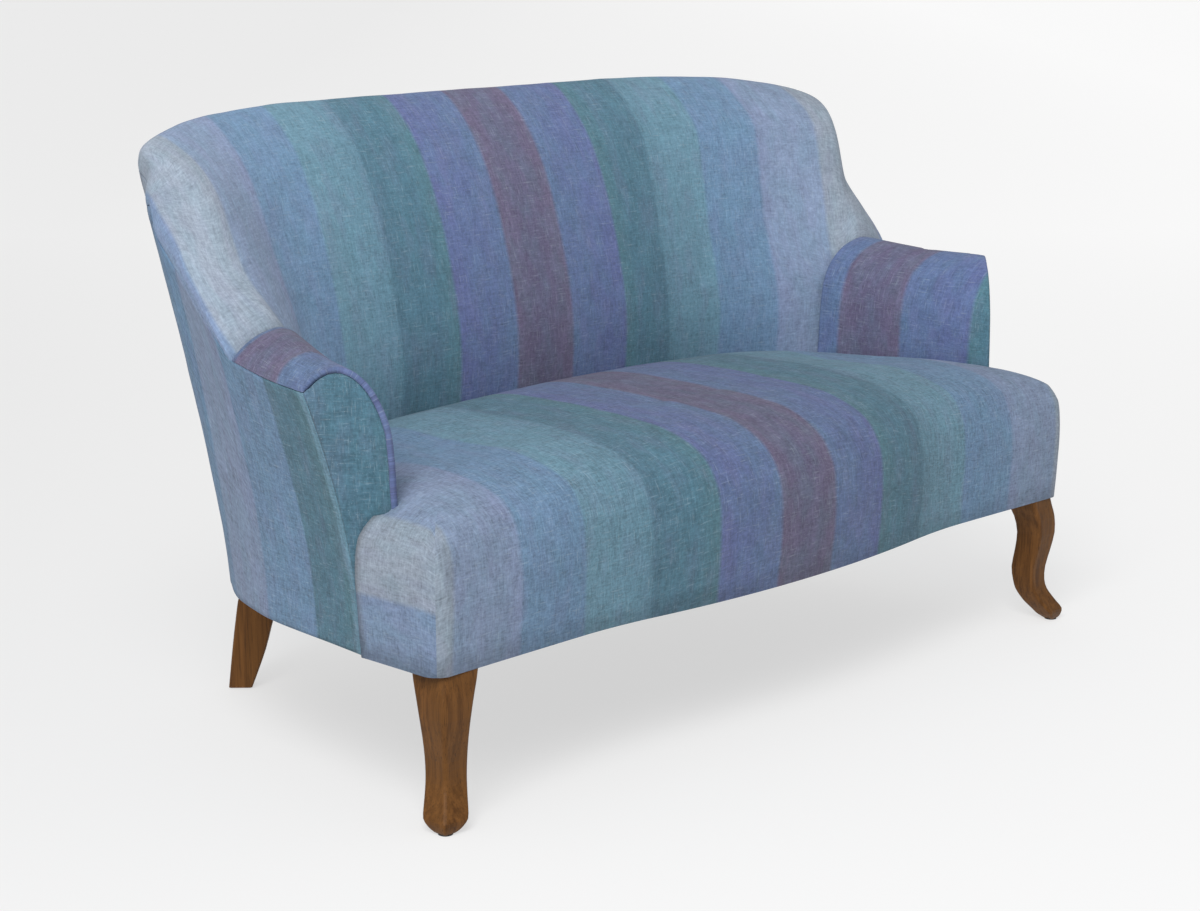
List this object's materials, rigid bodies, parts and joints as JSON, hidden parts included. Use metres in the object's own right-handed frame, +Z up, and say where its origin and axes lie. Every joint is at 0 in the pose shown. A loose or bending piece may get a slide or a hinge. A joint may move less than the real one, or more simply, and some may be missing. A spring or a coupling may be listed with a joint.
{
  "type": "sofa",
  "caption": "Compact tight-upholstered sofa with a curved raked back, scroll arms, a bowed T-shaped seat in broad blue stripes and carved wooden legs.",
  "frame": {"origin": "on the floor under the middle of the bounding box", "axes": "+Z up, +X along the width, to the right as seen from the front, -Y to the front"},
  "size_m": [1.629, 0.8245, 0.9701],
  "materials": {
    "linen": "coarse heathered linen weave in broad stripes",
    "oak": "oiled mid brown oak, satin",
    "frame_wood": "planed hardwood, unfinished",
    "foam": "open cell upholstery foam",
    "hessian": "coarse jute cloth",
    "webbing": "woven jute webbing",
    "dust_cloth": "black bottoming cloth",
    "steel": "zinc plated",
    "glide": "matt nylon"
  },
  "bodies": {
    "root": {"inside_back_cover": "linen", "inside_arm_cover_right": "linen", "inside_arm_cover_left": "linen", "seat_cover": "linen", "seat_foam": "foam", "outside_arm_cover_right": "linen", "outside_arm_cover_left": "linen", "outside_back_cover": "linen", "arm_facing_right": "linen", "arm_facing_left": "linen", "back_foam": "foam", "back_hessian": "hessian", "arm_foam_right": "foam", "arm_foam_left": "foam", "front_rail": "frame_wood", "back_rail": "frame_wood", "side_rail_right": "frame_wood", "side_rail_left": "frame_wood", "centre_rail": "frame_wood", "leg_bolt_front_right": "steel", "leg_bolt_front_left": "steel", "leg_bolt_rear_right": "steel", "leg_bolt_rear_left": "steel", "front_leg_block_right": "frame_wood", "front_leg_block_left": "frame_wood", "rear_leg_block_right": "frame_wood", "rear_leg_block_left": "frame_wood", "crest_rail": "frame_wood", "back_post_right": "frame_wood", "back_post_left": "frame_wood", "back_upright_right": "frame_wood", "back_upright_left": "frame_wood", "back_tack_rail": "frame_wood", "arm_rear_post_right": "frame_wood", "arm_rear_post_left": "frame_wood", "arm_front_board_right": "frame_wood", "arm_front_board_left": "frame_wood", "arm_top_rail_right": "frame_wood", "arm_top_rail_left": "frame_wood", "arm_tack_rail_right": "frame_wood", "arm_tack_rail_left": "frame_wood", "wing_board_right": "frame_wood", "wing_board_left": "frame_wood", "seat_webbing": "webbing", "seat_hessian": "hessian", "back_strap_1": "webbing", "back_strap_2": "webbing", "back_strap_3": "webbing", "dust_cover": "dust_cloth", "front_leg_right": "oak", "front_leg_left": "oak", "rear_leg_right": "oak", "rear_leg_left": "oak", "glide_front_right": "glide", "glide_front_left": "glide", "glide_rear_right": "glide", "glide_rear_left": "glide"}
  },
  "joints": []
}
